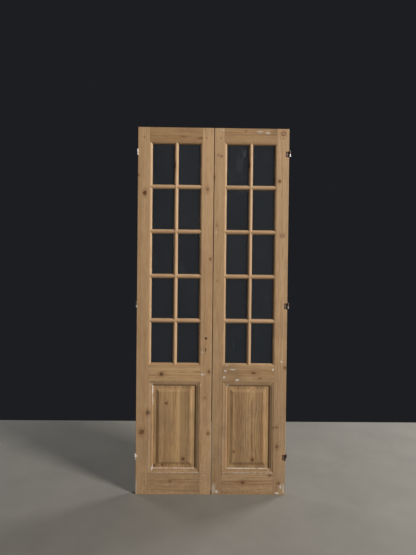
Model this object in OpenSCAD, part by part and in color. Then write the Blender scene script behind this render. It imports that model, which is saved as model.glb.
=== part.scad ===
// Pair of glazed french doors: two pine leaves, each with ten panes over one raised panel,
// hung on lift-off hinges, with a mortise lock in the left leaf and its strike in the right.
// Millimetres. +Z is up, the front faces -Y, and the leaves stand on Z = 0.

/* [Pair] */
// Width of both leaves together, edge to edge
pair_w = 997; // [840:1:1300]
// Height of the leaves
pair_h = 2432; // [2000:1:2950]
// Thickness of the frame members
door_t = 44.5; // [40:0.5:56]
// Gap between the meeting edges
meet_gap = 4.5; // [4:0.5:8]
// Chamfer along the outer edges of the stiles
arris = 1.5; // [0.5:0.5:3]

/* [Stiles and rails] */
// Flat face of each hinge stile
hinge_face = 79; // [65:1:110]
// Flat face of the left meeting stile, which holds the lock
left_meet_face = 74.5; // [72:0.5:100]
// Flat face of the right meeting stile
right_meet_face = 68; // [66:0.5:100]
// Flat face of the top rail
top_face = 92; // [70:1:130]
// Flat face of the lock rail
lock_face = 104; // [80:1:150]
// Height of the lock rail's lower edge above the floor
lock_rail_z = 756; // [600:1:900]
// Flat face of the bottom rail
bottom_face = 141; // [100:1:200]

/* [Joinery] */
// Thickness of the rail tenons
tenon_t = 12; // [8:1:16]
// Length of the rail tenons
tenon_len = 62; // [30:1:64]
// Radius of the pegs through the top rail's tenons
peg_r = 4.5; // [3:0.5:6]
// Distance of the pegs from the shoulder at the hinge stile
hinge_peg_in = 40; // [20:1:45]
// Distance of the pegs from the shoulder at the meeting stile
meet_peg_in = 25; // [15:1:45]
// Height of the pegs above the top rail's lower edge
peg_rise = 26; // [24:1:30]
// Radial clearance of pegs and screws in their holes
peg_fit = 0.05; // [0.02:0.01:0.1]

/* [Glazing] */
// Width of the moulding worked on the frame around the glass
stick_w = 16; // [16:1:22]
// Depth of the glass behind the front face
glass_depth = 15; // [12:0.5:20]
// Width of the glazing bars, seen from the front
bar_w = 30; // [24:1:34]
// Width of the flat ridge on the bars
bar_ridge = 4; // [4:0.5:8]
// Width of the bars behind the glass
bar_stem = 10; // [8:1:14]
// Depth of the bars from front to back
bar_depth = 36; // [30:1:40]
// Thickness of the panes
pane_t = 3; // [2:0.5:4]
// Clearance around each pane in its rebate
pane_fit = 1.5; // [0.5:0.5:3]
// Depth of the putty behind the panes
putty_t = 11; // [6:1:12]

/* [Panel] */
// Width of the mitred moulding around the panel
mould_w = 34; // [26:1:44]
// Depth of the panel's flat margin behind the front face
margin_depth = 14; // [12:0.5:18]
// Visible width of the panel's flat margin
margin_w = 19; // [10:1:30]
// Width of the bevel around the raised field
bevel_w = 20; // [12:1:30]
// Height of the raised field above the margin
field_rise = 7.5; // [4:0.5:10]
// Thickness of the panel at its margin
panel_t = 22; // [20:1:26]
// Thickness of the panel's tongue
tongue_t = 12; // [8:1:14]
// Depth of the groove that holds the tongue
groove_d = 10; // [6:1:12]
// Clearance at the bottom of the groove
groove_fit = 1; // [0.5:0.5:2]

/* [Hinges] */
// Distance of the top hinges below the top of the leaves
top_hinge_drop = 164; // [120:1:240]
// Height of the middle hinges
mid_hinge_z = 1263; // [1000:1:1400]
// Height of the bottom hinges
low_hinge_z = 252; // [170:1:320]
// Height of a knuckle, both halves together
knuckle_h = 39; // [34:1:60]
// Height of the lower half, which stays on the jamb
jamb_knuckle_h = 16.5; // [10:0.5:20]
// Outer radius of the knuckles
knuckle_r = 5; // [4.5:0.5:7]
// Radius of the hinge pins
pin_r = 2.5; // [2:0.25:3]
// Radial clearance of the pins
pin_fit = 0.05; // [0.02:0.01:0.1]
// Gap between the two halves of a knuckle
knuckle_gap = 0.3; // [0.2:0.1:1]
// Distance of the left hinge axis outside its leaf
left_axis_out = 2; // [2:0.5:6]
// Distance of the right hinge axis outside its leaf
right_axis_out = 5; // [5:0.5:8]
// Distance of the hinge axes in front of the leaves
axis_front = 3; // [3:0.5:5]
// Thickness of the hinge plates
plate_t = 2; // [1.5:0.5:3]
// Width of the plates let into the right leaf's face
face_plate_w = 22; // [18:1:30]
// Depth of the plates that run back along the edges
edge_plate_d = 30; // [24:1:36]
// Radius of the hinge screws
screw_r = 2; // [1.5:0.25:2.5]
// Length of the hinge screws
screw_len = 24; // [16:1:35]

/* [Lock] */
// Distance of the spindle from the left leaf's meeting edge
backset = 40; // [36:1:48]
// Height of the spindle
spindle_z = 1041; // [950:1:1150]
// Distance of the key's centre below the spindle
key_drop = 70; // [68:1:80]
// Radius of the spindle hole in the wood
spindle_hole_r = 8; // [7:0.5:10]
// Side of the square hole in the follower
spindle_sq = 7; // [6:0.5:8]
// Radius of the keyhole's round head
key_r = 4.5; // [3.5:0.5:6]
// Width of the keyhole's slot
key_slot_w = 4.5; // [4:0.5:5]
// Length of the keyhole's slot below its head
key_slot_h = 17; // [12:1:20]
// Thickness of the lock case
case_t = 14; // [12:1:16]
// Wall of the lock case
case_wall = 1.5; // [1:0.25:2]
// Width of the forend and of the strike plate
forend_w = 20; // [18:1:26]
// Height of the forend and of the strike plate
forend_h = 195; // [190:1:220]
// Thickness of the forend and of the strike plate
forend_t = 3; // [2:0.5:4]
// Clearance of the moving lock parts
lock_fit = 0.3; // [0.2:0.1:0.5]
// Travel of the latch bolt
latch_throw = 12; // [8:1:12]
// Travel of the dead bolt
dead_throw = 14; // [10:1:16]

/* [Hidden] */

$fn = 48;
eps = 0.01;
left = 0;
right = 1;
rows = 5;
pine = "#a8865f";
pine_dark = "#96704a";
putty_grey = "#8f8a80";
iron = "#5a4232";
steel = "#8c8c88";

// Each leaf is drawn from its hinge edge at X = 0, its front face at Y = 0 and its foot at Z = 0.
meet_face = [left_meet_face, right_meet_face];
glass_w = (pair_w - meet_gap - 2 * hinge_face - 4 * stick_w - left_meet_face - right_meet_face) / 2;
glass_x0 = hinge_face + stick_w;
glass_x1 = glass_x0 + glass_w;
bar_x = glass_x0 + glass_w / 2;
meet_x = glass_x1 + stick_w;
lock_top = lock_rail_z + lock_face;
top_low = pair_h - top_face;
glass_z0 = lock_top + stick_w;
glass_z1 = top_low - stick_w;
bar_pitch = (glass_z1 - glass_z0 + bar_w) / rows;
rebate_w = (bar_w - bar_stem) / 2;
tenon_y = (door_t - tenon_t) / 2;
bar_tenon = [8, 12, 14];
bar_tenon_y = glass_depth + pane_t + 1;

// Ovolo of the frame and the bars: a round of this radius between its upper and lower edges
ovolo_r = 18;
ovolo_w = (bar_w - bar_ridge) / 2;
flat_w = stick_w - ovolo_w;
ovolo_top = 1;
ovolo_low = glass_depth - 0.5;

groove_y = margin_depth + 4;

axis_out = [left_axis_out, right_axis_out];
hinge_zs = [pair_h - top_hinge_drop, mid_hinge_z, low_hinge_z];
leaf_knuckle_z = jamb_knuckle_h + knuckle_gap;
face_plate_h = 38;
face_plate_drop = 3;
pin_top = knuckle_h - 5;
plate_gap = 0.8;
jamb_hole_r = 2.25;
jamb_hole_step = 24;
jamb_hole_y = 18;
knuckle_clear = knuckle_r + 0.5;

case_d = backset + 20;
case_h = key_drop + 80;
case_z0 = spindle_z - key_drop - 42;
lock_y = door_t / 2;
forend_z0 = case_z0 + case_h / 2 - forend_h / 2;
key_z = spindle_z - key_drop;
arm_swing = 17.5;
arm_r = latch_throw / (2 * sin(arm_swing));
arm_tip_r = 2.7;
hub_r = 8;
boss_r = 6;
case_in = case_t - 2 * case_wall;
bolt_t = case_in - 2 * lock_fit;
latch_z = spindle_z + arm_r;
latch_h = 18;
latch_head = 16;
latch_tail_h = 10;
dead_z = key_z + 25;
dead_h = 22;
dead_head = 26;
screw_head_r = 4;
forend_screw_in = 8;
spring_r = 3;
spring_wire = 0.8;

function leaf_w(s) = meet_x + meet_face[s];
// Middle of a circle of radius r through p and q, on the wood's side
function arc_mid(p, q, r) =
    let (d = q - p, l = norm(d), h = sqrt(r * r - l * l / 4))
    (p + q) / 2 + [-d[1], d[0]] / l * h;
function bar_z(i) = glass_z1 - (i - 1) * bar_pitch - (bar_pitch - bar_w / 2);

front_y = -(door_t - axis_front - knuckle_r) / 2;
centre_x = (left_axis_out - right_axis_out) / 2;

module place(s) {
    if (s == left)
        translate([centre_x - pair_w / 2, front_y, 0]) children();
    else
        translate([centre_x + pair_w / 2, front_y, 0]) mirror([1, 0, 0]) children();
}

// Sections drawn across X and Y run up; those drawn across Z and Y run along X
module up(z0, z1) translate([0, 0, z0]) linear_extrude(height = z1 - z0) children();
module along(x0, x1) translate([x1, 0, 0]) rotate([0, -90, 0]) linear_extrude(height = x1 - x0) children();

module box(x0, x1, y0, y1, z0, z1) translate([x0, y0, z0]) cube([x1 - x0, y1 - y0, z1 - z0]);

// Half of a bar's moulded front, from its ridge at 0 outward
module ovolo_half() intersection() {
    translate(arc_mid([0, ovolo_top + 0.2], [ovolo_w, ovolo_low], ovolo_r)) circle(r = ovolo_r, $fn = 96);
    translate([0, ovolo_top]) square([ovolo_w, glass_depth - ovolo_top]);
}

// The moulding and rebate worked on a frame member, from its flat face at 0 towards the glass
module sticking() {
    translate([flat_w, 0]) ovolo_half();
    translate([0, ovolo_top]) square([flat_w, glass_depth - ovolo_top]);
    translate([0, glass_depth]) square([stick_w - rebate_w, door_t - glass_depth]);
}

// The rebated and grooved inner edge of a frame member beside the panel
module panel_edge() difference() {
    translate([0, margin_depth]) square([stick_w, door_t - margin_depth]);
    translate([stick_w - groove_d, groove_y]) square([groove_d + 1, tongue_t]);
}

module bar_front() {
    translate([bar_ridge / 2, 0]) ovolo_half();
    mirror([1, 0]) translate([bar_ridge / 2, 0]) ovolo_half();
    translate([-bar_ridge / 2, ovolo_top]) square([bar_ridge, glass_depth - ovolo_top]);
}

// A prism with this outline across X and Z, between two depths
module prism(points, y0, y1) translate([0, y1, 0]) rotate([90, 0, 0]) linear_extrude(height = y1 - y0)
    polygon(points);

// Outline of a bar with both ends mitred, its two tips at a and b
function bar_outline(a, b) = let (r = bar_ridge / 2, h = bar_w / 2)
    [[a, -r], [a + ovolo_w, -h], [b - ovolo_w, -h], [b, -r], [b, r], [b - ovolo_w, h], [a + ovolo_w, h],
     [a, r]];

// Outline of the notch that takes a bar's mitred end, its bottom at t
function vee(t) = let (r = bar_ridge / 2, h = bar_w / 2, e = t + ovolo_w)
    [[t, -r], [e, -h], [e + 1, -h], [e + 1, h], [e, h], [t, r]];

function turned(points) = [for (p = points) [p[1], p[0]]];

// A stile's flat part with its outer edges chamfered at X = 0
module stile_board(w) polygon([[arris, 0], [w, 0], [w, door_t], [arris, door_t], [0, door_t - arris],
                               [0, arris]]);

// Rail tenons: lowest and highest edge of each
tenons = [[top_low + 14, pair_h - 22], [lock_rail_z + 10, lock_top - 10], [24, bottom_face - 12]];
peg_z = top_low + peg_rise;
peg_xs = [hinge_face - hinge_peg_in, meet_x + meet_peg_in];

module stile(face, peg_in) {
    difference() {
        union() {
            up(0, pair_h) stile_board(face);
            stile_sticking(face);
            translate([face, 0, 0]) up(bottom_face, lock_rail_z) panel_edge();
        }
        for (t = tenons) box(face - tenon_len, face + 1, tenon_y, tenon_y + tenon_t, t[0], t[1]);
        for (i = [1:rows - 1]) stile_bar_mortise(face, i);
        peg(face - peg_in, peg_r + peg_fit, 1);
    }
}

// Mitred at both ends, with a notch for each cross bar
module stile_sticking(face) difference() {
    w = stick_w;
    intersection() {
        translate([face, 0, 0]) up(lock_top, top_low) sticking();
        prism([[face - 1, lock_top - 1], [face + w + 1, lock_top + w + 1],
               [face + w + 1, top_low - w - 1], [face - 1, top_low + 1]], -1, door_t + 1);
    }
    for (i = [1:rows - 1]) translate([face, 0, bar_z(i)]) prism(vee(flat_w), -1, glass_depth);
}

module stile_bar_mortise(face, i) {
    x = face + stick_w - rebate_w;
    box(x - bar_tenon[2], x + 1, bar_tenon_y, bar_tenon_y + bar_tenon[1],
        bar_z(i) - bar_tenon[0] / 2, bar_z(i) + bar_tenon[0] / 2);
}

// A peg, or the hole for one that starts this much in front of the face
module peg(x, r, before = 0) translate([x, -before, peg_z]) rotate([-90, 0, 0])
    cylinder(r = r, h = door_t - 4 + before);

module hinge_stile(s) color(pine) difference() {
    stile(hinge_face, hinge_peg_in);
    for (k = [0:2]) hinge_cut(s, hinge_foot(k));
}

// The meeting stile is drawn from its outer edge too, and turned round onto the leaf
module meeting_stile_body(s) translate([leaf_w(s), 0, 0]) mirror([1, 0, 0])
    stile(meet_face[s], meet_peg_in);

module meeting_stile(s) color(pine) difference() {
    meeting_stile_body(s);
    if (s == left) lock_cut();
    else strike_cut();
}

// Rails run between the flat faces of the stiles
module rail_ends(t) {
    box(hinge_face - tenon_len, hinge_face + eps, tenon_y, tenon_y + tenon_t, t[0], t[1]);
    box(meet_x - eps, meet_x + tenon_len, tenon_y, tenon_y + tenon_t, t[0], t[1]);
}

// A rail's moulding around the glass, from its flat face at 0 upward, mitred and notched
module rail_sticking() difference() {
    w = stick_w;
    intersection() {
        along(hinge_face, meet_x) sticking();
        prism([[hinge_face - 1, -1], [hinge_face + w + 1, w + 1], [meet_x - w - 1, w + 1],
               [meet_x + 1, -1]], -1, door_t + 1);
    }
    translate([bar_x, 0, 0]) prism(turned(vee(flat_w)), -1, glass_depth);
}

module rail(t) {
    difference() {
        union() {
            children();
            rail_ends(t);
        }
        for (x = peg_xs) peg(x, peg_r + peg_fit, 1);
    }
}

module upright_mortise(z, dir) box(bar_x - bar_tenon[0] / 2, bar_x + bar_tenon[0] / 2, bar_tenon_y,
    bar_tenon_y + bar_tenon[1], dir > 0 ? z : z - bar_tenon[2], dir > 0 ? z + bar_tenon[2] : z);

module top_rail() color(pine) difference() {
    rail(tenons[0]) {
        box(hinge_face, meet_x, 0, door_t, top_low, pair_h);
        translate([0, 0, top_low]) mirror([0, 0, 1]) rail_sticking();
    }
    upright_mortise(glass_z1 + rebate_w, 1);
}

module lock_rail() color(pine) difference() {
    rail(tenons[1]) {
        box(hinge_face, meet_x, 0, door_t, lock_rail_z, lock_top);
        translate([0, 0, lock_top]) rail_sticking();
        translate([0, 0, lock_rail_z]) mirror([0, 0, 1]) along(glass_x0, glass_x1) panel_edge();
    }
    upright_mortise(glass_z0 - rebate_w, -1);
}

module bottom_rail() color(pine) rail(tenons[2]) {
    box(hinge_face, meet_x, 0, door_t, 0, bottom_face);
    translate([0, 0, bottom_face]) along(glass_x0, glass_x1) panel_edge();
}

module upright_bar() color(pine) difference() {
    foot = glass_z0 - rebate_w;
    head = glass_z1 + rebate_w;
    union() {
        intersection() {
            translate([bar_x, 0, 0]) up(lock_top, top_low) bar_front();
            translate([bar_x, 0, 0]) prism(turned(bar_outline(lock_top + flat_w, top_low - flat_w)), -1,
                                           glass_depth);
        }
        box(bar_x - bar_stem / 2, bar_x + bar_stem / 2, glass_depth - 1, bar_depth, foot, head);
        upright_mortise(head - eps, 1);
        upright_mortise(foot + eps, -1);
    }
    for (i = [1:rows - 1]) {
        cross_tenon(i);
        translate([bar_x, 0, bar_z(i)]) prism(vee(bar_ridge / 2), -1, glass_depth);
        translate([bar_x, 0, bar_z(i)]) mirror([1, 0, 0]) prism(vee(bar_ridge / 2), -1, glass_depth);
    }
}

// The square tongue that runs the length of a cross bar, through the upright and into both stiles
module cross_tenon(i) {
    reach = bar_tenon[2] - stick_w + rebate_w;
    box(hinge_face - reach, meet_x + reach, bar_tenon_y, bar_tenon_y + bar_tenon[1],
        bar_z(i) - bar_tenon[0] / 2, bar_z(i) + bar_tenon[0] / 2);
}

module cross_bar(i) color(pine) union() {
    stem_x = hinge_face + stick_w - rebate_w;
    cross_bar_half(i, hinge_face + flat_w, bar_x - bar_ridge / 2, stem_x, bar_x - bar_stem / 2);
    cross_bar_half(i, bar_x + bar_ridge / 2, meet_x - flat_w, bar_x + bar_stem / 2,
                   meet_x - stick_w + rebate_w);
    cross_tenon(i);
}

// One half of a cross bar, its front between the tips a and b and its stem between c and d
module cross_bar_half(i, a, b, c, d) translate([0, 0, bar_z(i)]) {
    intersection() {
        along(a, b) bar_front();
        prism(bar_outline(a, b), -1, glass_depth);
    }
    box(c, d, glass_depth - 1, bar_depth, -bar_stem / 2, bar_stem / 2);
}

// Sight opening of the pane in column c and row i: x0, x1, z0, z1
function sight(i, c) = let (top = glass_z1 - (i - 1) * bar_pitch)
    [c == 0 ? glass_x0 : bar_x + bar_w / 2, c == 0 ? bar_x - bar_w / 2 : glass_x1,
     top - bar_pitch + bar_w, top];

module panes_row(i) color("#c9d6d6", 0.4) for (c = [0, 1]) {
    s = sight(i, c);
    g = rebate_w - pane_fit;
    box(s[0] - g, s[1] + g, glass_depth, glass_depth + pane_t, s[2] - g, s[3] + g);
}

module putty() color(putty_grey) for (i = [1:rows], c = [0, 1]) {
    s = sight(i, c);
    y0 = glass_depth + pane_t;
    y1 = min(y0 + putty_t, bar_depth - 1);
    difference() {
        box(s[0] - rebate_w, s[1] + rebate_w, y0, y1, s[2] - rebate_w, s[3] + rebate_w);
        intersection() {
            up(s[2] - 20, s[3] + 20) putty_slope(s[0], s[1], y0, y1);
            along(s[0] - 20, s[1] + 20) putty_slope(s[2], s[3], y0, y1);
        }
    }
}

module putty_slope(a, b, y0, y1) {
    g = rebate_w - 1;
    polygon([[a, y0 - 1], [b, y0 - 1], [b, y0], [b + g, y1], [b + g, y1 + 1], [a - g, y1 + 1],
             [a - g, y1], [a, y0]]);
}

panel_x = [glass_x0, glass_x1];
panel_z = [bottom_face + stick_w, lock_rail_z - stick_w];
mould_x = [hinge_face + mould_w, meet_x - mould_w];
mould_z = [bottom_face + mould_w, lock_rail_z - mould_w];

// Front of the raised panel between a and b, where the moulding ends at m0 and m1
module panel_section(a, b, m0, m1) polygon([
    [a, margin_depth], [m0 + margin_w, margin_depth],
    [m0 + margin_w + bevel_w, margin_depth - field_rise],
    [m1 - margin_w - bevel_w, margin_depth - field_rise],
    [m1 - margin_w, margin_depth], [b, margin_depth],
    [b, margin_depth + panel_t], [a, margin_depth + panel_t]]);

module panel() color(pine) {
    shy = groove_fit / 2;
    t = groove_d - groove_fit;
    intersection() {
        up(panel_z[0] + shy, panel_z[1] - shy)
            panel_section(panel_x[0] + shy, panel_x[1] - shy, mould_x[0], mould_x[1]);
        along(panel_x[0] + shy, panel_x[1] - shy)
            panel_section(panel_z[0] + shy, panel_z[1] - shy, mould_z[0], mould_z[1]);
    }
    box(panel_x[0] - t, panel_x[1] + t, groove_y, groove_y + tongue_t, panel_z[0] - t, panel_z[1] + t);
}

// Section of the panel moulding: a bead, a hollow and a round that falls to the panel's margin
module mould_section() {
    bead_r = 2.6;
    mid = mould_w / 2;
    p = [mid + 1, 6];
    q = [mould_w - 0.5, margin_depth - 0.5];
    translate([bead_r, bead_r]) circle(r = bead_r, $fn = 24);
    polygon([[0, bead_r], [2 * bead_r, bead_r], [2 * bead_r + 0.8, 1.6], [mid, 4.4], [mid, 6],
             [mid, margin_depth], [0, margin_depth]]);
    intersection() {
        translate(arc_mid(p, q, 13)) circle(r = 13, $fn = 96);
        translate([mid, p[1]]) square([mould_w - mid, margin_depth - p[1]]);
    }
    translate([mid, q[1]]) square([mould_w - mid, margin_depth - q[1]]);
    translate([mid, p[1]]) square([1 + eps, margin_depth - p[1]]);
}

module mitre(points) prism(points, -2, margin_depth + 1);

module panel_moulding() color(pine_dark) {
    g = [0, 0.4];
    a = [hinge_face, bottom_face];
    b = [hinge_face, lock_rail_z];
    c = [meet_x, lock_rail_z];
    d = [meet_x, bottom_face];
    ai = [mould_x[0], mould_z[0]];
    bi = [mould_x[0], mould_z[1]];
    ci = [mould_x[1], mould_z[1]];
    di = [mould_x[1], mould_z[0]];
    intersection() {
        translate([hinge_face, 0, 0]) up(a[1], b[1]) mould_section();
        mitre([a + g, b - g, bi - g, ai + g]);
    }
    intersection() {
        translate([meet_x, 0, 0]) mirror([1, 0, 0]) up(a[1], b[1]) mould_section();
        mitre([d + g, c - g, ci - g, di + g]);
    }
    intersection() {
        translate([0, 0, b[1]]) mirror([0, 0, 1]) along(b[0], c[0]) mould_section();
        mitre([b, c, ci, bi]);
    }
    intersection() {
        translate([0, 0, a[1]]) along(b[0], c[0]) mould_section();
        mitre([a, d, di, ai]);
    }
}

module pegs() color(pine_dark) for (x = peg_xs) peg(x, peg_r);

// Hinges: the leaf half carries the upper knuckle, the jamb half the lower knuckle and the pin
module at_axis(s, z) translate([-axis_out[s], -axis_front, z]) children();

// Foot of the knuckles of hinge k, and the middle of the face plate above a foot at z0
function hinge_foot(k) = hinge_zs[k] - knuckle_h / 2;
function plate_z(z0) = z0 + knuckle_h / 2 - face_plate_drop;

module hinge_cut(s, z0) {
    at_axis(s, z0 - 0.5) cylinder(r = knuckle_clear, h = knuckle_h + 1);
    if (s == left)
        box(-1, plate_t, -1, edge_plate_d, z0, z0 + knuckle_h);
    else
        box(-1, face_plate_w, -1, plate_t, plate_z(z0) - face_plate_h / 2, plate_z(z0) + face_plate_h / 2);
    leaf_screws(s, z0) screw(screw_r + peg_fit, screw_len + 1);
}

// Places of the screws that hold a leaf half
module leaf_screws(s, z0) {
    zc = z0 + knuckle_h / 2;
    if (s == left)
        for (k = [-1, 1]) translate([0, jamb_hole_y, zc + k * jamb_hole_step / 2]) rotate([0, 90, 0])
            children();
    else
        translate([face_plate_w / 2, 0, plate_z(z0)]) rotate([-90, 0, 0]) children();
}

// A countersunk wood screw that points along Z from its head
module screw(r, l) {
    cylinder(r1 = 2 * r, r2 = r, h = plate_t);
    cylinder(r = r, h = l);
}

module slotted_screw() difference() {
    screw(screw_r, screw_len);
    translate([-screw_head_r - 1, -0.5, -1]) cube([2 * screw_head_r + 2, 1, 1.8]);
}

module leaf_hinge(s, k) color(iron) difference() {
    z0 = hinge_foot(k);
    z1 = z0 + leaf_knuckle_z;
    z2 = z0 + knuckle_h;
    union() {
        at_axis(s, z1) cylinder(r = knuckle_r, h = z2 - z1);
        if (s == left) {
            box(0, plate_t, knuckle_clear - axis_front, edge_plate_d, z0, z2);
            box(0, plate_t, -axis_front, edge_plate_d, z1, z2);
        } else {
            p0 = plate_z(z0) - face_plate_h / 2;
            p1 = plate_z(z0) + face_plate_h / 2;
            box(plate_gap, face_plate_w, 0, plate_t, p0, p1);
            box(-axis_out[s], face_plate_w, 0, plate_t, z1, p1);
        }
    }
    at_axis(s, z1 - 1) cylinder(r = pin_r + pin_fit, h = z0 + pin_top + 0.5 - z1 + 1);
    leaf_screws(s, z0) screw(screw_r + peg_fit, screw_len);
}

module jamb_hinge(s, k) color(steel) difference() {
    z0 = hinge_foot(k);
    union() {
        at_axis(s, z0) cylinder(r = knuckle_r, h = jamb_knuckle_h);
        at_axis(s, z0) cylinder(r = pin_r, h = pin_top);
        x = -axis_out[s];
        box(x - plate_t, x, -axis_front, edge_plate_d, z0, z0 + jamb_knuckle_h);
        box(x - plate_t, x, knuckle_clear - axis_front, edge_plate_d, z0, z0 + knuckle_h);
    }
    for (e = [-1, 1])
        translate([-axis_out[s] - plate_t - 1, jamb_hole_y, z0 + knuckle_h / 2 + e * jamb_hole_step / 2])
            rotate([0, 90, 0]) cylinder(r = jamb_hole_r, h = plate_t + 2);
}

module hinge_screws(s) color(steel) for (k = [0:2]) leaf_screws(s, hinge_foot(k)) slotted_screw();

// Lock, in the left leaf's frame
lock_x = leaf_w(left);
case_x1 = lock_x - forend_t;
case_x0 = case_x1 - case_d;
spindle_x = lock_x - backset;

module across(x, z, y0, y1, r) translate([x, y0, z]) rotate([-90, 0, 0]) cylinder(r = r, h = y1 - y0);

module keyhole(y0, y1) {
    across(spindle_x, key_z, y0, y1, key_r);
    box(spindle_x - key_slot_w / 2, spindle_x + key_slot_w / 2, y0, y1, key_z - key_slot_h, key_z);
}

module lock_cut() {
    g = lock_fit;
    box(case_x0 - g, lock_x + 1, lock_y - case_t / 2 - g, lock_y + case_t / 2 + g, case_z0 - g,
        case_z0 + case_h + g);
    forend_box(lock_x, 1);
    across(spindle_x, spindle_z, -1, door_t + 1, spindle_hole_r);
    keyhole(-1, door_t + 1);
    forend_screws(lock_x) screw(screw_r + peg_fit, screw_len + 1);
}

module forend_box(x, over) box(x - forend_t, x + over, lock_y - forend_w / 2, lock_y + forend_w / 2,
                               forend_z0, forend_z0 + forend_h);

module forend_screws(x) for (z = [forend_z0 + forend_screw_in, forend_z0 + forend_h - forend_screw_in])
    translate([x, lock_y, z]) rotate([0, -90, 0]) children();

// Openings for the two bolts with clearance g, from x0 to x1
module bolt_slots(x0, x1, g) {
    y = bolt_t / 2 + g;
    box(x0, x1, lock_y - y, lock_y + y, latch_z - latch_h / 2 - g, latch_z + latch_h / 2 + g);
    box(x0, x1, lock_y - y, lock_y + y, dead_z - dead_h / 2 - g, dead_z + dead_h / 2 + g);
}

module lock_case() color(steel) difference() {
    union() {
        forend_box(lock_x, 0);
        box(case_x0, case_x1 + eps, lock_y - case_t / 2, lock_y + case_t / 2, case_z0, case_z0 + case_h);
    }
    box(case_x0 + case_wall, case_x1, lock_y - case_in / 2, lock_y + case_in / 2,
        case_z0 + case_wall, case_z0 + case_h - case_wall);
    bolt_slots(case_x1 - 1, lock_x + 1, lock_fit);
    across(spindle_x, spindle_z, 0, door_t, boss_r + pin_fit);
    keyhole(0, door_t);
    forend_screws(lock_x) screw(screw_r + peg_fit, screw_len);
}

module lock_follower() color(iron) difference() {
    hub_t = bolt_t / 2;
    union() {
        across(spindle_x, spindle_z, lock_y - hub_t, lock_y + hub_t, hub_r);
        across(spindle_x, spindle_z, lock_y - case_t / 2, lock_y + case_t / 2, boss_r);
        translate([spindle_x, lock_y, spindle_z]) rotate([0, -arm_swing, 0]) {
            translate([-1.2, -3, 0]) cube([2.4, 6, arm_r]);
            translate([0, 3, arm_r]) rotate([90, 0, 0]) cylinder(r = arm_tip_r, h = 6);
        }
    }
    q = spindle_sq / 2;
    box(spindle_x - q, spindle_x + q, 0, door_t, spindle_z - q, spindle_z + q);
}

module latch_bolt() color(steel) difference() {
    y0 = lock_y - bolt_t / 2;
    y1 = lock_y + bolt_t / 2;
    notch_x = spindle_x - latch_throw / 2;
    union() {
        up(latch_z - latch_h / 2, latch_z + latch_h / 2) polygon([
            [lock_x - latch_head, y0], [lock_x, y0], [lock_x, y0 + 2],
            [lock_x - latch_head / 2, y1], [lock_x - latch_head, y1]]);
        box(spindle_x - latch_throw, lock_x - latch_head + eps, y0, y1,
            latch_z - latch_tail_h / 2, latch_z + latch_tail_h / 2);
    }
    g = arm_tip_r + 0.4;
    box(notch_x - g, notch_x + g, y0 - 1, y1 + 1, latch_z - latch_tail_h, latch_z + arm_tip_r + 0.5);
}

module dead_bolt() color(steel) difference() {
    y0 = lock_y - bolt_t / 2;
    y1 = lock_y + bolt_t / 2;
    z0 = dead_z - dead_h / 2;
    union() {
        box(lock_x - dead_head, lock_x, y0, y1, z0, z0 + dead_h);
        box(spindle_x - 15, lock_x - dead_head + eps, y0, y1, z0, z0 + dead_h / 2);
    }
    box(spindle_x - 5, spindle_x + 5, y0 - 1, y1 + 1, z0 - 1, z0 + 4);
}

// A coil of round wire along X between the case and the latch bolt's tail
module latch_spring() color(steel) {
    turns = 5;
    steps = 16;
    sides = 8;
    x0 = case_x0 + case_wall + 0.3 + spring_wire / 2;
    x1 = spindle_x - latch_throw - 0.3 - spring_wire / 2;
    n = turns * steps;
    points = [for (i = [0:n], k = [0:sides - 1])
        let (a = 360 * i / steps, b = 360 * k / sides, r = spring_r + spring_wire / 2 * cos(b))
        [x0 + (x1 - x0) * i / n + spring_wire / 2 * sin(b), lock_y + r * cos(a), latch_z + r * sin(a)]];
    sides_faces = [for (i = [0:n - 1], k = [0:sides - 1])
        let (k2 = (k + 1) % sides)
        [i * sides + k, i * sides + k2, (i + 1) * sides + k2, (i + 1) * sides + k]];
    ends = [[for (k = [sides - 1:-1:0]) k], [for (k = [0:sides - 1]) n * sides + k]];
    polyhedron(points, concat(sides_faces, ends), convexity = 10);
}

module lock_screws() color(steel) forend_screws(lock_x) slotted_screw();

// Strike, in the right leaf's frame, facing the lock
strike_x = leaf_w(right);
strike_fit = 1;
strike_deep = 18;

module strike_cut() {
    forend_box(strike_x, 1);
    bolt_slots(strike_x - strike_deep, strike_x + 1, strike_fit);
    forend_screws(strike_x) screw(screw_r + peg_fit, screw_len + 1);
}

module strike_plate() color(steel) difference() {
    forend_box(strike_x, 0);
    bolt_slots(strike_x - strike_deep, strike_x + 1, strike_fit);
    forend_screws(strike_x) screw(screw_r + peg_fit, screw_len);
}

module strike_screws() color(steel) forend_screws(strike_x) slotted_screw();

place(left) hinge_stile(left);  // left_hinge_stile
place(left) meeting_stile(left);  // left_meeting_stile
place(left) top_rail();  // left_top_rail
place(left) lock_rail();  // left_lock_rail
place(left) bottom_rail();  // left_bottom_rail
place(left) upright_bar();  // left_upright_bar
place(left) cross_bar(1);  // left_cross_bar_1
place(left) cross_bar(2);  // left_cross_bar_2
place(left) cross_bar(3);  // left_cross_bar_3
place(left) cross_bar(4);  // left_cross_bar_4
place(left) panes_row(1);  // left_panes_row_1
place(left) panes_row(2);  // left_panes_row_2
place(left) panes_row(3);  // left_panes_row_3
place(left) panes_row(4);  // left_panes_row_4
place(left) panes_row(5);  // left_panes_row_5
place(left) panel();  // left_panel
place(left) panel_moulding();  // left_panel_moulding
place(left) putty();  // left_putty
place(left) pegs();  // left_pegs
place(left) leaf_hinge(left, 0);  // left_hinge_top
place(left) leaf_hinge(left, 1);  // left_hinge_middle
place(left) leaf_hinge(left, 2);  // left_hinge_bottom
place(left) hinge_screws(left);  // left_hinge_screws
place(left) jamb_hinge(left, 0);  // left_jamb_hinge_top
place(left) jamb_hinge(left, 1);  // left_jamb_hinge_middle
place(left) jamb_hinge(left, 2);  // left_jamb_hinge_bottom

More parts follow.
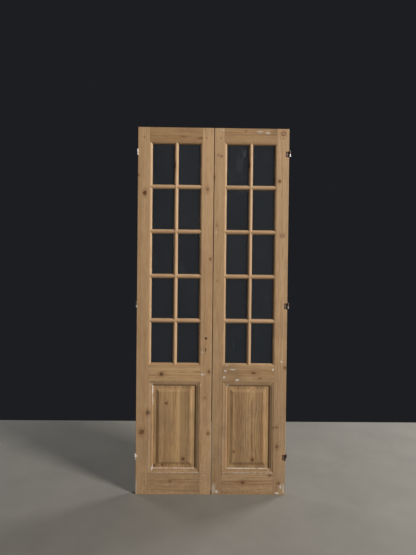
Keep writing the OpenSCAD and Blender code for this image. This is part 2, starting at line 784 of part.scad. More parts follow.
place(right) hinge_stile(right);  // right_hinge_stile
place(right) meeting_stile(right);  // right_meeting_stile
place(right) top_rail();  // right_top_rail
place(right) lock_rail();  // right_lock_rail
place(right) bottom_rail();  // right_bottom_rail
place(right) upright_bar();  // right_upright_bar
place(right) cross_bar(1);  // right_cross_bar_1
place(right) cross_bar(2);  // right_cross_bar_2
place(right) cross_bar(3);  // right_cross_bar_3
place(right) cross_bar(4);  // right_cross_bar_4
place(right) panes_row(1);  // right_panes_row_1
place(right) panes_row(2);  // right_panes_row_2
place(right) panes_row(3);  // right_panes_row_3
place(right) panes_row(4);  // right_panes_row_4
place(right) panes_row(5);  // right_panes_row_5
place(right) panel();  // right_panel
place(right) panel_moulding();  // right_panel_moulding
place(right) putty();  // right_putty
place(right) pegs();  // right_pegs
place(right) leaf_hinge(right, 0);  // right_hinge_top
place(right) leaf_hinge(right, 1);  // right_hinge_middle
place(right) leaf_hinge(right, 2);  // right_hinge_bottom
place(right) hinge_screws(right);  // right_hinge_screws
place(right) jamb_hinge(right, 0);  // right_jamb_hinge_top
place(right) jamb_hinge(right, 1);  // right_jamb_hinge_middle
place(right) jamb_hinge(right, 2);  // right_jamb_hinge_bottom

place(left) lock_case();
place(left) lock_follower();
place(left) latch_bolt();
place(left) dead_bolt();
place(left) latch_spring();
place(left) lock_screws();
place(right) strike_plate();
place(right) strike_screws();
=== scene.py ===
"""Looks for a pair of glazed pine french doors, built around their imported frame."""

import logging
import math
from dataclasses import dataclass, replace
from enum import Enum

import bpy
from mathutils import Matrix, Vector


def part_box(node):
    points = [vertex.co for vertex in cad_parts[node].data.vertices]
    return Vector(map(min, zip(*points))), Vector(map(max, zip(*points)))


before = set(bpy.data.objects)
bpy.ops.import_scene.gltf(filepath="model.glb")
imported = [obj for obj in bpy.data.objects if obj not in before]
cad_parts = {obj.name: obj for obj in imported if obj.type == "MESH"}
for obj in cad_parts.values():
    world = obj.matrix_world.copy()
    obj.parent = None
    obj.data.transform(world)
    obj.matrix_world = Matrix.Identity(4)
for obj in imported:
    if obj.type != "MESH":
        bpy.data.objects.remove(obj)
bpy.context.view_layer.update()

Socket = bpy.types.NodeSocket
Colour = tuple[float, float, float]
Triple = tuple[float, float, float]
Span = tuple[float, float]
Input = float | tuple[float, ...] | Socket

LOG = logging.getLogger("doors")
MM = 0.001

# The pair's outer left edge in the shared frame, in metres
EDGE_X = -0.5

# The middle of a noise texture's values
MIDDLE = 0.5


class Grain(Enum):
    """Which way a board's grain runs."""

    UPRIGHT = "upright"
    LEVEL = "level"


class Side(Enum):
    """The two leaves, seen from the front."""

    LEFT = "left"
    RIGHT = "right"


# ---------------------------------------- node graphs


class Graph:
    """Adds nodes to one node tree and links them."""

    def __init__(self, tree: bpy.types.NodeTree) -> None:
        """Starts on a tree.

        Args:
            tree: the material's or group's node tree.
        """
        self.tree = tree

    def put(self, kind: str, **settings: object) -> bpy.types.Node:
        """Adds a node.

        Args:
            kind: the node's type name without its ShaderNode prefix.
            settings: properties to set on it.

        Returns:
            The new node.
        """
        node = self.tree.nodes.new("ShaderNode" + kind)
        for name, value in settings.items():
            setattr(node, name, value)
        return node

    def feed(self, socket: Socket, value: Input) -> None:
        """Links a socket into another, or sets its plain value."""
        if isinstance(value, bpy.types.NodeSocket):
            self.tree.links.new(value, socket)
        elif socket.type == "RGBA" and len(value) == 3:
            socket.default_value = (*value, 1.0)
        else:
            socket.default_value = value

    def math(self, operation: str, *values: Input, clamp: bool = False) -> Socket:
        """Does one arithmetic step.

        Args:
            operation: the Math node's operation.
            values: its one to three inputs.
            clamp: whether the result is held between 0 and 1.

        Returns:
            The result.
        """
        node = self.put("Math", operation=operation, use_clamp=clamp)
        for socket, value in zip(node.inputs, values):
            self.feed(socket, value)
        return node.outputs[0]

    def add(self, *values: Input) -> Socket:
        """Adds up two or more values."""
        total = values[0]
        for value in values[1:]:
            total = self.math("ADD", total, value)
        return total

    def less(self, first: Input, second: Input) -> Socket:
        """Takes the second value from the first."""
        return self.math("SUBTRACT", first, second)

    def times(self, *values: Input) -> Socket:
        """Multiplies two or more values."""
        total = values[0]
        for value in values[1:]:
            total = self.math("MULTIPLY", total, value)
        return total

    def length(self, first: Input, second: Input) -> Socket:
        """Gives the square root of the sum of two values."""
        return self.math("SQRT", self.add(first, second))

    def swing(self, value: Input, by: float) -> Socket:
        """Centres a noise value on nothing and stretches it."""
        return self.times(self.less(value, MIDDLE), by)

    def scale(self, vector: Input, by: tuple[float, float, float]) -> Socket:
        """Multiplies a vector by three plain numbers."""
        node = self.put("VectorMath", operation="MULTIPLY")
        self.feed(node.inputs[0], vector)
        node.inputs[1].default_value = by
        return node.outputs[0]

    def shift(self, vector: Input, by: Input) -> Socket:
        """Adds two vectors."""
        node = self.put("VectorMath", operation="ADD")
        self.feed(node.inputs[0], vector)
        self.feed(node.inputs[1], by)
        return node.outputs[0]

    def join(self, x: Input, y: Input, z: Input) -> Socket:
        """Makes a vector of three values."""
        node = self.put("CombineXYZ")
        for socket, value in zip(node.inputs, (x, y, z)):
            self.feed(socket, value)
        return node.outputs[0]

    def split(self, vector: Input) -> tuple[Socket, Socket, Socket]:
        """Takes a vector apart into X, Y and Z."""
        node = self.put("SeparateXYZ")
        self.feed(node.inputs[0], vector)
        return node.outputs[0], node.outputs[1], node.outputs[2]

    def noise(self, vector: Input, scale: float, detail: float = 2.0, rough: float = 0.5) -> Socket:
        """Adds a noise texture.

        Args:
            vector: where it is read.
            scale: its scale.
            detail: its octaves.
            rough: its roughness.

        Returns:
            A value from 0 to 1.
        """
        node = self.put("TexNoise")
        self.feed(node.inputs["Vector"], vector)
        node.inputs["Scale"].default_value = scale
        node.inputs["Detail"].default_value = detail
        node.inputs["Roughness"].default_value = rough
        return node.outputs["Fac"]

    def step(self, value: Input, low: Input, high: Input) -> Socket:
        """Rises smoothly from 0 at low to 1 at high."""
        node = self.put("MapRange", interpolation_type="SMOOTHSTEP")
        self.feed(node.inputs["Value"], value)
        self.feed(node.inputs["From Min"], low)
        self.feed(node.inputs["From Max"], high)
        return node.outputs["Result"]

    def fall(self, value: Input, low: Input, high: Input) -> Socket:
        """Falls smoothly from 1 at low to 0 at high."""
        return self.less(1.0, self.step(value, low, high))

    def mix(self, factor: Input, first: Input, second: Input) -> Socket:
        """Mixes two colours.

        Args:
            factor: how much of the second.
            first: the colour at 0.
            second: the colour at 1.

        Returns:
            The mixed colour.
        """
        node = self.put("Mix", data_type="RGBA")
        for number, value in ((0, factor), (6, first), (7, second)):
            self.feed(node.inputs[number], value)
        return node.outputs[2]

    def group(self, tree: bpy.types.NodeTree, **values: Input) -> bpy.types.Node:
        """Places a node group.

        Args:
            tree: the group.
            values: its inputs by name, with underscores for spaces.

        Returns:
            The group node.
        """
        node = self.put("Group")
        node.node_tree = tree
        for name, value in values.items():
            self.feed(node.inputs[name.replace("_", " ")], value)
        return node


class Effect:
    """A node group in the making: its graph, its inputs and its outputs."""

    def __init__(self, name: str, inputs: dict[str, float | None], outputs: tuple[str, ...]) -> None:
        """Makes the group and its sockets.

        Args:
            name: the group's name.
            inputs: each input with its plain value, or None for a vector.
            outputs: the names of its values.
        """
        self.tree = bpy.data.node_groups.new(name, "ShaderNodeTree")
        self.graph = Graph(self.tree)
        for label, value in inputs.items():
            kind = "NodeSocketVector" if value is None else "NodeSocketFloat"
            socket = self.tree.interface.new_socket(label, in_out="INPUT", socket_type=kind)
            if value is not None:
                socket.default_value = value
        for label in outputs:
            self.tree.interface.new_socket(label, in_out="OUTPUT", socket_type="NodeSocketFloat")
        self.source = self.tree.nodes.new("NodeGroupInput")
        self.sink = self.tree.nodes.new("NodeGroupOutput")

    def __getitem__(self, label: str) -> Socket:
        """Gives an input by its name."""
        return self.source.outputs[label]

    def give(self, **values: Socket) -> None:
        """Links the group's outputs by name, with underscores for spaces."""
        for label, value in values.items():
            self.graph.feed(self.sink.inputs[label.replace("_", " ")], value)


class Paintwork:
    """A new material with its graph, its shader and its Object coordinates."""

    def __init__(self, name: str) -> None:
        """Makes the material by its name."""
        self.material = bpy.data.materials.new(name)
        self.material.use_nodes = True
        self.graph = Graph(self.material.node_tree)
        self.shader = self.material.node_tree.nodes["Principled BSDF"]
        self.spot = self.graph.put("TexCoord").outputs["Object"]

    def wear(self, **values: Input) -> None:
        """Feeds the shader's inputs by name, with underscores for spaces."""
        for label, value in values.items():
            self.graph.feed(self.shader.inputs[label.replace("_", " ")], value)

    def emboss(self, height: Socket, strength: float, depth: float) -> None:
        """Raises the surface by a value.

        Args:
            height: the value.
            strength: how strongly it acts.
            depth: how high a value of 1 stands, in metres.
        """
        bump = self.graph.put("Bump")
        bump.inputs["Strength"].default_value = strength
        bump.inputs["Distance"].default_value = depth
        self.graph.feed(bump.inputs["Height"], height)
        self.wear(Normal=bump.outputs[0])


# ---------------------------------------- shared effects

# A board's figure: how the seed moves it along Y and Z, and its noise scales along X, Y and Z
SEED_TURN = (1.7, 3.1)
SWAY_SCALE = (4.0, 4.0, 1.1)
WAVER_SCALE = (30.0, 30.0, 3.0)
FIBRE_SCALE = (420.0, 420.0, 9.0)
STRIPE_SCALE = (22.0, 8.0, 0.8)

# How far the trunk bends, in metres, and how far the rings waver, in rings
SWAY_REACH = 0.05
WAVER_REACH = 1.4

# How late in a ring its wood darkens, and where the dark wood starts to end
LATE_CURVE = 2.2
LATE_END = 0.9

# A knot's uneven rim, and where its light middle, its core and its halo fade, in radii
KNOT_RAGGED = 0.9
HOLLOW_FADE = (0.3, 0.75)
CORE_FADE = (0.7, 1.1)
HALO_FADE = (0.4, 2.0)
HALO_SQUEEZE = (0.6, 0.35)

# The grain bent round a knot: its squeeze along, its floor at the middle, its fade and its strength
FLOW_SQUEEZE = 0.12
FLOW_FLOOR = 0.35
FLOW_FADE = (2.0, 5.0)
FLOW_BEND = 0.8

# A patch: where it fades, in half sizes, how it tears, where it breaks and how soft its rim is
PATCH_FADE = (0.1, 1.15)
PATCH_TEAR = 2.2
PATCH_TORN = (0.45, 0.75)
PATCH_RIM = 0.15

# A line: its solid share, how long its ends fade, in half widths, and where it breaks
LINE_SOLID = 0.5
LINE_TAPER = 2.0
LINE_TORN = (0.42, 0.56)


class Effects:
    """The shared node groups, each built once."""

    def __init__(self) -> None:
        """Builds every group."""
        self.board = self.make_board()
        self.knot = self.make_knot()
        self.patch = self.make_patch()
        self.stroke = self.make_stroke()

    @staticmethod
    def make_board() -> bpy.types.NodeTree:
        """Builds growth rings and fibres, read across, into and along a board.

        Returns:
            The group, which puts out Ring, Fibre and Tone.
        """
        e = Effect(
            "pine_board",
            {"Point": None, "Seed": 0.0, "Pith": 0.0, "Pith Depth": 0.06, "Ring Width": 0.004},
            ("Ring", "Fibre", "Tone"),
        )
        g = e.graph
        across, depth, _ = g.split(e["Point"])
        turn_y, turn_z = (g.times(e["Seed"], turn) for turn in SEED_TURN)
        place = g.shift(e["Point"], g.join(e["Seed"], turn_y, turn_z))
        drift = g.swing(g.noise(g.scale(place, SWAY_SCALE), 1.0, 2.0), SWAY_REACH)
        side = g.less(g.add(across, drift), e["Pith"])
        back = g.add(depth, e["Pith Depth"])
        radius = g.length(g.times(side, side), g.times(back, back))
        waver = g.times(g.noise(g.scale(place, WAVER_SCALE), 1.0, 3.0), WAVER_REACH)
        saw = g.math("FRACT", g.add(g.math("DIVIDE", radius, e["Ring Width"]), waver))
        late = g.times(g.math("POWER", saw, LATE_CURVE), g.fall(saw, LATE_END, 1.0))
        fibre = g.noise(g.scale(place, FIBRE_SCALE), 1.0, 3.0, 0.6)
        tone = g.noise(g.scale(place, STRIPE_SCALE), 1.0, 2.0, 0.55)
        e.give(Ring=late, Fibre=fibre, Tone=tone)
        return e.tree

    @staticmethod
    def make_knot() -> bpy.types.NodeTree:
        """Builds one knot: it bends the grain round itself and adds its core and its halo.

        Returns:
            The group, which puts out Bend, Core and Halo.
        """
        e = Effect(
            "pine_knot",
            {"Across": 0.0, "Along": 0.0, "Bend": 0.0, "Core": 0.0, "Halo": 0.0, "Centre": 0.0,
             "Height": 0.0, "Radius": 0.01, "Length": 1.2, "Depth": 1.0, "Hollow": 0.0,
             "Ragged": 0.5},
            ("Bend", "Core", "Halo"),
        )
        g = e.graph
        dx = g.less(e["Across"], e["Centre"])
        dz = g.less(e["Along"], e["Height"])
        u = g.math("DIVIDE", dx, e["Radius"])
        v = g.math("DIVIDE", dz, g.times(e["Radius"], e["Length"]))
        far = g.add(g.length(g.times(u, u), g.times(v, v)), g.swing(e["Ragged"], KNOT_RAGGED))
        flow = g.length(g.times(u, u), g.times(v, v, FLOW_SQUEEZE))
        pull = g.math("DIVIDE", 1.0, g.add(g.times(flow, flow), FLOW_FLOOR))
        pull = g.times(pull, g.fall(flow, *FLOW_FADE))
        bend = g.less(e["Bend"], g.times(dx, pull, FLOW_BEND))
        ring = g.less(1.0, g.times(e["Hollow"], g.fall(far, *HOLLOW_FADE)))
        core = g.times(g.fall(far, *CORE_FADE), ring, e["Depth"])
        wide, long = HALO_SQUEEZE
        glow = g.length(g.times(u, u, wide), g.times(v, v, long))
        halo = g.times(g.fall(glow, *HALO_FADE), e["Depth"])
        e.give(
            Bend=bend,
            Core=g.math("MAXIMUM", e["Core"], core),
            Halo=g.math("MAXIMUM", e["Halo"], halo),
        )
        return e.tree

    @staticmethod
    def make_patch() -> bpy.types.NodeTree:
        """Builds one broken oval patch, as of old paint or grime.

        Returns:
            The group, which puts out Mask.
        """
        e = Effect(
            "worn_patch",
            {"X": 0.0, "Z": 0.0, "Mask": 0.0, "Centre X": 0.0, "Centre Z": 0.0, "Width": 0.02,
             "Height": 0.02, "Strength": 1.0, "Fleck": 0.5},
            ("Mask",),
        )
        g = e.graph
        u = g.math("DIVIDE", g.less(e["X"], e["Centre X"]), e["Width"])
        v = g.math("DIVIDE", g.less(e["Z"], e["Centre Z"]), e["Height"])
        near = g.fall(g.length(g.times(u, u), g.times(v, v)), *PATCH_FADE)
        torn = g.step(g.add(near, g.swing(e["Fleck"], PATCH_TEAR)), *PATCH_TORN)
        patch = g.times(torn, g.step(near, 0.0, PATCH_RIM), e["Strength"])
        e.give(Mask=g.math("MAXIMUM", e["Mask"], patch))
        return e.tree

    @staticmethod
    def make_stroke() -> bpy.types.NodeTree:
        """Builds one soft line where a value passes a place, kept between two ends.

        Returns:
            The group, which puts out Mask.
        """
        e = Effect(
            "worn_line",
            {"Value": 0.0, "Run": 0.0, "Mask": 0.0, "Place": 0.0, "Half Width": 0.001,
             "Start": 0.0, "End": 1.0, "Strength": 1.0, "Fleck": 0.5},
            ("Mask",),
        )
        g = e.graph
        off = g.math("ABSOLUTE", g.less(e["Value"], e["Place"]))
        line = g.fall(off, g.times(e["Half Width"], LINE_SOLID), e["Half Width"])
        taper = g.times(e["Half Width"], LINE_TAPER)
        first = g.step(e["Run"], e["Start"], g.add(e["Start"], taper))
        last = g.fall(e["Run"], g.less(e["End"], taper), e["End"])
        torn = g.step(e["Fleck"], *LINE_TORN)
        stroke = g.times(line, g.times(first, last), torn, e["Strength"])
        e.give(Mask=g.math("MAXIMUM", e["Mask"], stroke))
        return e.tree


# ---------------------------------------- marks on the doors


@dataclass(frozen=True)
class Knot:
    """One knot, placed across the pair and above the floor, in millimetres.

    Args:
        x: distance from the pair's left edge.
        z: height above the floor.
        radius: half its size across the grain.
        length: its size along the grain over its size across.
        depth: how dark it is.
        hollow: how light its middle is.
    """

    x: float
    z: float
    radius: float
    length: float = 1.2
    depth: float = 1.0
    hollow: float = 0.0


@dataclass(frozen=True)
class Patch:
    """One patch of old paint or one smear, placed as a knot is.

    Args:
        x: distance from the pair's left edge.
        z: height above the floor.
        width: half its width.
        height: half its height.
        strength: how much of it is left.
    """

    x: float
    z: float
    width: float
    height: float
    strength: float = 1.0


@dataclass(frozen=True)
class Line:
    """One line or band of paint or dirt, level or upright.

    Args:
        place: its place across the line, from the left edge or the floor, in millimetres.
        start: where it starts along its run.
        end: where it ends.
        half: half its width.
        level: whether it runs level.
        strength: how strong it is.
    """

    place: float
    start: float
    end: float
    half: float
    level: bool = False
    strength: float = 1.0


KNOTS = (
    Knot(46, 2000, 10, 1.3), Knot(242, 2185, 7, 2.4, 0.9), Knot(460, 2028, 9, 1.2, 0.6),
    Knot(413, 2365, 7, 2.2, 0.6), Knot(484, 1568, 7, 1.2, 0.7), Knot(166, 801, 11, 1.0, 0.9),
    Knot(482, 820, 8, 1.2, 0.8), Knot(80, 544, 12, 1.0, 0.9), Knot(38, 416, 14, 1.0, 0.95, 0.4),
    Knot(457, 645, 8, 1.0, 0.45), Knot(480, 408, 8, 1.0, 0.75), Knot(201, 606, 7, 1.2, 0.8),
    Knot(315, 234, 9, 1.1, 0.8), Knot(176, 191, 6, 1.1, 0.9), Knot(123, 187, 6, 1.2, 0.9),
    Knot(229, 87, 6, 1.6, 0.6), Knot(710, 2415, 6, 1.2, 0.5), Knot(959, 2401, 15, 0.9, 0.9, 0.8),
    Knot(936, 2087, 9, 0.8, 1.0), Knot(550, 2248, 8, 0.9, 0.6), Knot(528, 2253, 7, 0.8, 0.4),
    Knot(734, 2191, 7, 2.0, 0.9), Knot(958, 1727, 13, 0.8, 0.7, 0.9), Knot(524, 1790, 6, 1.2, 0.5),
    Knot(532, 1423, 5, 1.2, 0.4), Knot(778, 813, 7, 1.7, 0.9), Knot(822, 779, 6, 1.2, 0.7),
    Knot(986, 851, 7, 1.2, 0.8), Knot(936, 451, 8, 0.8, 0.7), Knot(912, 449, 7, 0.8, 0.5),
    Knot(939, 322, 10, 1.1, 0.7), Knot(777, 229, 9, 1.1, 0.95), Knot(654, 284, 7, 1.1, 0.7),
    Knot(300, 2372, 5, 2.6, 0.5), Knot(4, 2118, 5, 1.3, 0.6), Knot(506, 2108, 5, 1.8, 0.7),
    Knot(714, 81, 10, 1.2, 0.8), Knot(896, 130, 7, 1.2, 0.7), Knot(954, 75, 8, 1.2, 0.7),
)

PAINT = (
    Patch(440, 801, 17, 10), Patch(583, 784, 12, 12), Patch(642, 835, 34, 8, 0.7),
    Patch(590, 826, 16, 12, 0.7), Patch(670, 765, 22, 12, 0.8), Patch(908, 836, 10, 16, 0.8),
    Patch(963, 889, 9, 9), Patch(805, 2410, 36, 16, 0.3), Patch(855, 2405, 30, 14, 0.4),
    Patch(541, 19, 14, 14), Patch(520, 40, 22, 60, 0.4), Patch(943, 11, 22, 9),
    Patch(967, 55, 12, 26, 0.7), Patch(986, 40, 10, 60, 0.6), Patch(8, 256, 9, 12),
    Patch(5, 40, 7, 130, 0.5), Patch(560, 2420, 16, 9, 0.35),
    Patch(436, 948, 12, 14, 0.5), Patch(520, 1745, 14, 14, 0.3), Patch(600, 864, 14, 6, 0.6),
    Patch(455, 128, 20, 6, 0.35), Patch(425, 730, 6, 14, 0.5), Patch(105, 168, 8, 24, 0.9),
    Patch(108, 690, 6, 60, 0.7), Patch(610, 726, 14, 14, 0.6), Patch(105, 735, 14, 10, 0.6),
)

SMEARS = (
    Patch(672, 2200, 46, 110, 0.55), Patch(700, 2270, 26, 50, 0.8), Patch(690, 2120, 20, 60, 0.5),
    Patch(850, 2250, 50, 70, 0.35), Patch(700, 2018, 90, 7, 0.8), Patch(820, 2018, 60, 7, 0.6),
    Patch(645, 995, 9, 44, 0.9), Patch(330, 2010, 60, 16, 0.4), Patch(150, 1180, 30, 60, 0.3),
    Patch(860, 1300, 30, 50, 0.35), Patch(300, 1500, 30, 90, 0.3),
)

LEFT_STREAKS = (
    Line(111, 590, 735, 2.6), Line(112, 162, 200, 3.0), Line(145, 84, 420, 2.4, True, 0.6),
    Line(172, 116, 392, 2.4, True, 0.7), Line(724, 112, 392, 1.8, True, 0.35),
    Line(82, 150, 560, 1.8, False, 0.4), Line(392, 180, 240, 2.0, False, 0.5),
)
LEFT_BANDS = (Line(328, 0, 900, 46, strength=0.26), Line(180, 0, 900, 60, strength=0.1))
RIGHT_BANDS = (
    Line(700, 0, 900, 62, strength=0.13), Line(822, 0, 900, 40, strength=0.1),
    Line(545, -60, 900, 60, strength=0.12), Line(955, -60, 960, 70, strength=0.12),
)
RIGHT_STREAKS = (
    Line(145, 576, 914, 2.4, True, 0.6), Line(172, 608, 886, 2.6, True, 0.7),
    Line(724, 606, 886, 1.8, True, 0.35), Line(607, 640, 730, 2.2, False, 0.6),
    Line(884, 150, 240, 2.2, False, 0.6), Line(575, 160, 400, 1.8, False, 0.3),
)


def draw_patches(work: Paintwork, effects: Effects, patches: tuple[Patch, ...], mask: Input,
                 fleck: Socket) -> Input:
    """Adds a set of patches to a mask.

    Args:
        work: the material.
        effects: the shared groups.
        patches: the patches.
        mask: what is there already.
        fleck: noise that breaks them up.

    Returns:
        The mask with the patches.
    """
    x, _, z = work.graph.split(work.spot)
    for patch in patches:
        mask = work.graph.group(
            effects.patch, X=x, Z=z, Mask=mask, Centre_X=EDGE_X + patch.x * MM,
            Centre_Z=patch.z * MM, Width=patch.width * MM, Height=patch.height * MM,
            Strength=patch.strength, Fleck=fleck,
        ).outputs["Mask"]
    return mask


def draw_lines(work: Paintwork, effects: Effects, lines: tuple[Line, ...], fleck: Input) -> Input:
    """Adds up a set of lines.

    Args:
        work: the material.
        effects: the shared groups.
        lines: the lines.
        fleck: noise that breaks them.

    Returns:
        Their mask.
    """
    x, _, z = work.graph.split(work.spot)
    mask: Input = 0.0
    for line in lines:
        value, run, base, end = (z, x, 0.0, EDGE_X) if line.level else (x, z, EDGE_X, 0.0)
        mask = work.graph.group(
            effects.stroke, Value=value, Run=run, Mask=mask, Place=base + line.place * MM,
            Half_Width=line.half * MM, Start=end + line.start * MM, End=end + line.end * MM,
            Strength=line.strength, Fleck=fleck,
        ).outputs["Mask"]
    return mask


# ---------------------------------------- finishes


@dataclass(frozen=True)
class PineTone:
    """One shade of stripped pine.

    Args:
        early: colour of the soft early wood.
        late: colour of the hard late wood.
        rings: how much the rings show.
        stripes: how much broad stripes show.
        grime: how much dirt lies in the grain.
    """

    early: Colour
    late: Colour
    rings: float
    stripes: float
    grime: float


FRAME_TONE = PineTone((0.57, 0.37, 0.202), (0.35, 0.192, 0.085), 0.6, 0.4, 0.16)
TOP_RAIL_TONE = PineTone((0.45, 0.28, 0.138), (0.27, 0.145, 0.06), 0.7, 0.5, 0.3)
LOCK_RAIL_TONE = PineTone((0.58, 0.375, 0.195), (0.33, 0.18, 0.078), 0.75, 0.5, 0.25)
FOOT_RAIL_TONE = PineTone((0.58, 0.38, 0.21), (0.33, 0.185, 0.088), 0.75, 0.5, 0.28)
BAR_TONE = PineTone((0.57, 0.365, 0.205), (0.4, 0.23, 0.105), 0.35, 0.3, 0.1)
PANEL_TONE = PineTone((0.58, 0.368, 0.178), (0.27, 0.142, 0.062), 0.75, 0.75, 0.22)
MOULD_TONE = PineTone((0.51, 0.33, 0.18), (0.33, 0.185, 0.085), 0.5, 0.4, 0.25)
PEG_TONE = PineTone((0.2, 0.11, 0.055), (0.11, 0.055, 0.026), 0.3, 0.2, 0.3)

KNOT_CORE: Colour = (0.1, 0.042, 0.02)
KNOT_HALO: Colour = (0.3, 0.15, 0.06)
PAINT_WHITE: Colour = (0.7, 0.66, 0.6)
GRIME: Colour = (0.09, 0.055, 0.03)
# Colour of the dark lines: joints, bands, and the painted shade in the panel moulding's hollow
DARK_LINE_AND_SHADE: Colour = (0.035, 0.02, 0.012)

# How much wider a knot shows than its clear wood, and how far marks reach past their centres
KNOT_SPREAD = 1.25
KNOT_REACH = 0.02
PATCH_REACH = 0.03

# How far back the tree's middle lies and how wide the rings are: middle, swing, pace of the seed
PITH_DEPTH = (0.05, 0.02, 2.3)
RING_WIDTH = (0.0062, 0.002, 1.3)

# Noise on a board: scale, octaves and roughness
RAGGED = (90.0, 3.0, 0.6)
MOTTLE = (75.0, 3.0, 0.6)
CLOUD = (3.2, 4.0, 0.6)
FINE = (210.0, 4.0, 0.7)
FLECK = (160.0, 4.0, 0.65)
TEAR = (45.0, 4.0, 0.7)
SPECK = (300.0, 2.0)

# How much of fibres, stripes and mottling goes into the tone, and how much late wood is everywhere
FIBRE_SHARE = 1.7
STRIPE_SHARE = 3.0
MOTTLE_SHARE = 0.7
MOTTLE_SQUEEZE = 0.22
LATE_BASE = 0.12

# How strong stains, knot halos, knot cores and the dirt at the foot are
STAIN_SHARE = 1.8
HALO_SHARE = 0.6
CORE_SHARE = 0.85
FOOT_SHARE = 0.25

# The noise values between which each kind of mark rises
STAIN_RISE = (0.45, 0.8)
FOOT_RISE = (0.35, 0.7)
FINE_RISE = (0.6, 0.78)
SPECK_RISE = (0.64, 0.69)
SPECK_ZONE = (0.5, 0.62)

# The heights between which dirt at the foot and specks die out, and the depths where paint ends
FOOT_TOP = 0.35
SPECK_TOP = (0.45, 1.1)
PAINT_DEPTH = (-0.007, -0.002)

# A noise value that leaves the dark lines whole: joints, bands and the painted shade in the
# moulding's hollow
WHOLE = 0.9

# Roughness of bare wood, and what fibres, rings and knots add to it
WOOD_ROUGH = 0.52
ROUGH_SHARES = (0.16, -0.08, -0.12)

# How high fibres, rings, knots and paint stand, and how the relief acts
RELIEF_SHARES = (0.5, 0.35, -0.4, 0.8)
RELIEF_STRENGTH = 0.35
RELIEF_DEPTH = 0.0008
WOOD_SPECULAR = 0.35


def toned(colour: Colour, by: float) -> Colour:
    """Makes a colour lighter or darker."""
    return tuple(part * by for part in colour)


